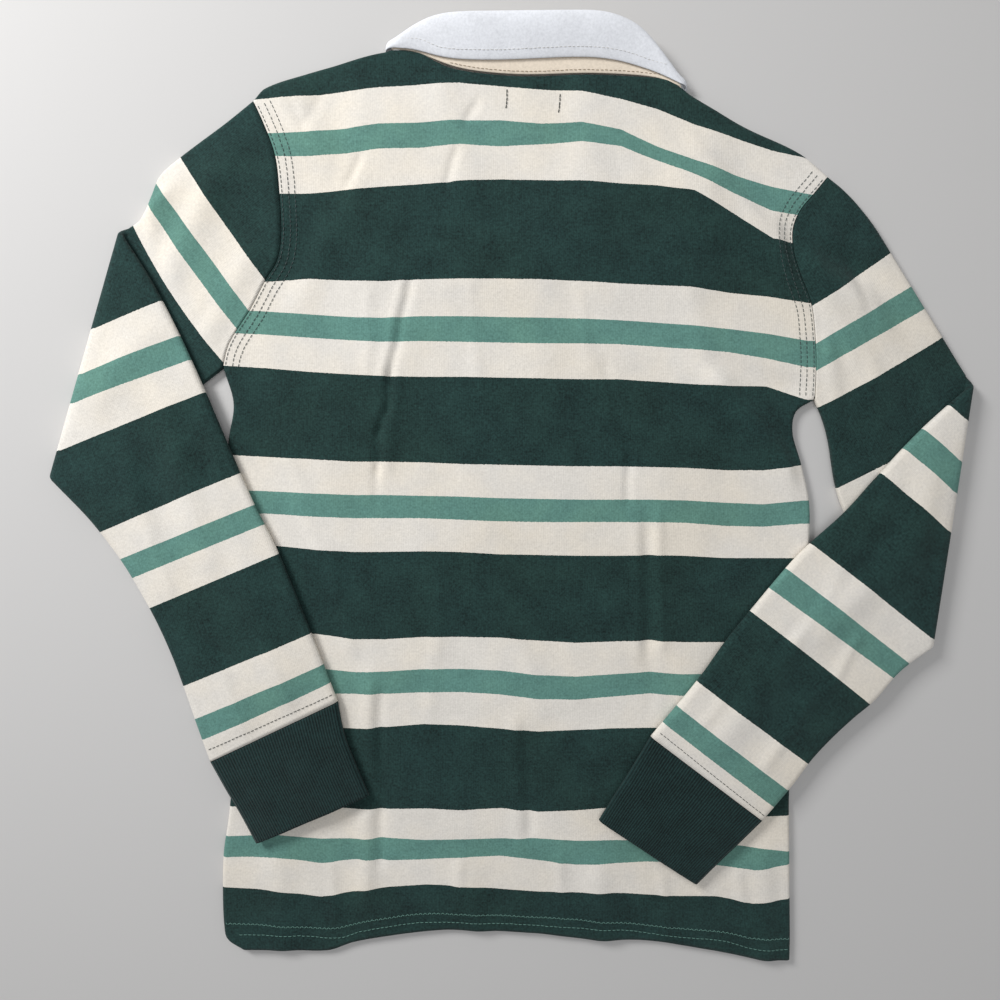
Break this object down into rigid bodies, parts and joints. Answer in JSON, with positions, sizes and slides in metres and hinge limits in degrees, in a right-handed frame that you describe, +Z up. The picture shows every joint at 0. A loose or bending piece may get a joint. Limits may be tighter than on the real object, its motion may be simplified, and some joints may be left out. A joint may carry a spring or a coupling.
{
  "type": "rugby shirt",
  "caption": "Child's long-sleeved striped rugby shirt laid face down, white collar turned down, both sleeves folded back over it.",
  "frame": {"origin": "middle of the laid shirt's plan outline, on the surface that it rests on", "axes": "+X across the shirt to the right as seen from above, +Y from hem to collar, +Z up out of the shirt's back"},
  "size_m": [0.5884, 0.6092, 0.0157],
  "materials": {
    "back_panel": "dark green jersey with green and white stripe groups, matte",
    "front_panel": "dark green jersey with green and white stripe groups, matte",
    "placket": "dark green jersey, matte",
    "sleeve_left": "striped jersey in dark green, mid green and off-white, matte",
    "sleeve_right": "striped jersey in dark green, mid green and off-white, matte",
    "cuff_left": "dark green fine rib knit, matte",
    "cuff_right": "dark green fine rib knit, matte",
    "neck_band": "cream cotton twill, matte",
    "collar_leaf": "white cotton twill, matte"
  },
  "bodies": {
    "root": {"back_panel": "back_panel", "front_panel": "front_panel", "placket": "placket", "sleeve_left": "sleeve_left", "sleeve_right": "sleeve_right", "cuff_left": "cuff_left", "cuff_right": "cuff_right", "neck_band": "neck_band", "collar_leaf": "collar_leaf"}
  },
  "joints": []
}
